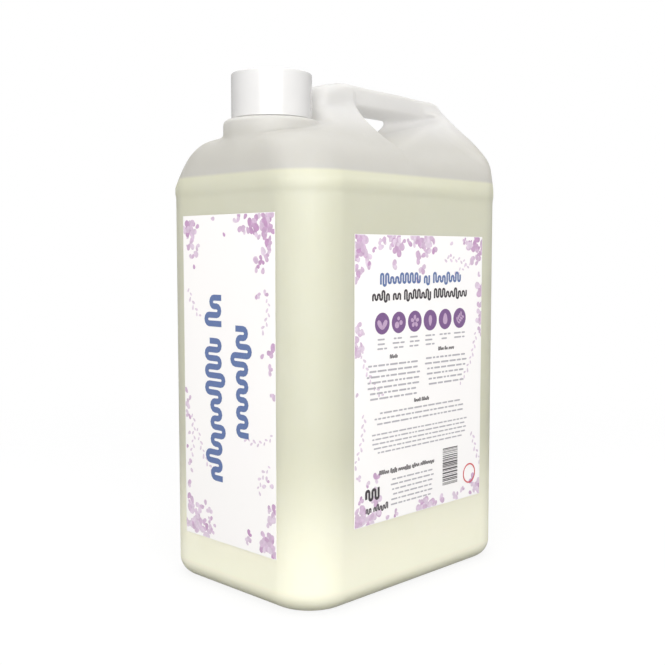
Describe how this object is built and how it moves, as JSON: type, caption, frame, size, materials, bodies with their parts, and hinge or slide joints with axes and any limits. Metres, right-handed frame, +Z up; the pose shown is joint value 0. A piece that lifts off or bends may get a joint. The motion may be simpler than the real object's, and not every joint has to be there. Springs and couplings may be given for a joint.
{
  "type": "shampoo can",
  "caption": "Translucent blow-moulded can with an integral side-pocketed handle, offset threaded neck, smooth screw cap, cream shampoo and two paper labels.",
  "frame": {"origin": "middle of the base, on the plane it stands on", "axes": "+Z up; +X along the broad side from the neck towards the rear of the handle; +Y across the can, away from the side that carries the broad label"},
  "size_m": [0.18, 0.132, 0.2992],
  "materials": {
    "natural_hdpe": "translucent satin",
    "shampoo": "opaque cream liquid",
    "cap_plastic": "smooth gloss",
    "liner_foam": "foamed polyethylene",
    "label_paper": "satin printed film"
  },
  "bodies": {
    "bottle": {"bottle_body": "natural_hdpe", "shampoo_fill": "shampoo", "front_label": "label_paper", "side_label": "label_paper"},
    "liner": {"cap_liner": "liner_foam"},
    "cap": {"screw_cap": "cap_plastic"}
  },
  "joints": [
    {"name": "cap_rise", "type": "slide", "parent": "bottle", "child": "liner", "axis": [0, 0, 1], "range_m": [0, 0.02625]},
    {"name": "cap_turn", "type": "hinge", "parent": "liner", "child": "cap", "pos_m": [-0.0555, 0, 0.28], "axis": [0, 0, 1], "range_deg": [0, 2250]}
  ],
  "couplings": [
    {"joint": "cap_rise", "follows": "cap_turn", "m_per_rad": 0.00066845}
  ]
}
